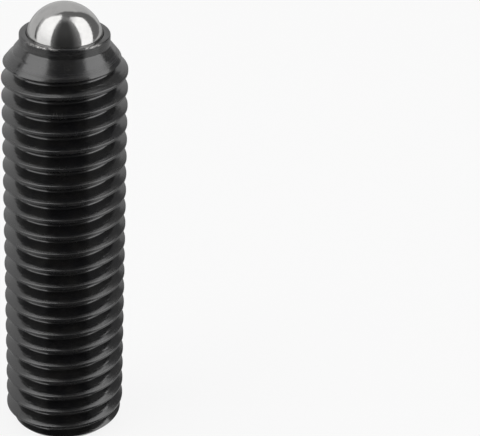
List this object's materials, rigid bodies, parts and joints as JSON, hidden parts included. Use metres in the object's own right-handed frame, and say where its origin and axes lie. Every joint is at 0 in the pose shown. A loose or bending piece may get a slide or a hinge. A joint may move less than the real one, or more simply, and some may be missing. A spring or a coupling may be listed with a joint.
{
  "type": "ball spring plunger",
  "caption": "Threaded spring plunger: black steel screw sleeve with a hexagon key socket at one end and a sprung polished ball held by a rolled lip at the other.",
  "frame": {"origin": "centre of the flat end face at the hexagon socket, which is the bottom centre of the box", "axes": "+Z along the plunger's axis, from the socket end to the ball; X and Y are square to it and have no natural direction"},
  "size_m": [0.0098, 0.0098, 0.0373],
  "materials": {
    "black_oxide_steel": "black oxidised machined steel with a thin oil film",
    "spring_steel": "drawn stainless spring wire",
    "polished_steel": "mirror-polished hardened ball"
  },
  "bodies": {
    "sleeve": {"threaded_sleeve": "black_oxide_steel", "compression_spring": "spring_steel"},
    "ball": {"detent_ball": "polished_steel"}
  },
  "joints": [
    {"name": "ball_press", "type": "slide", "parent": "sleeve", "child": "ball", "axis": [0, 0, -1], "range_m": [0, 0.002], "stiffness_N_per_m": 7000, "deforming": ["compression_spring"]}
  ]
}
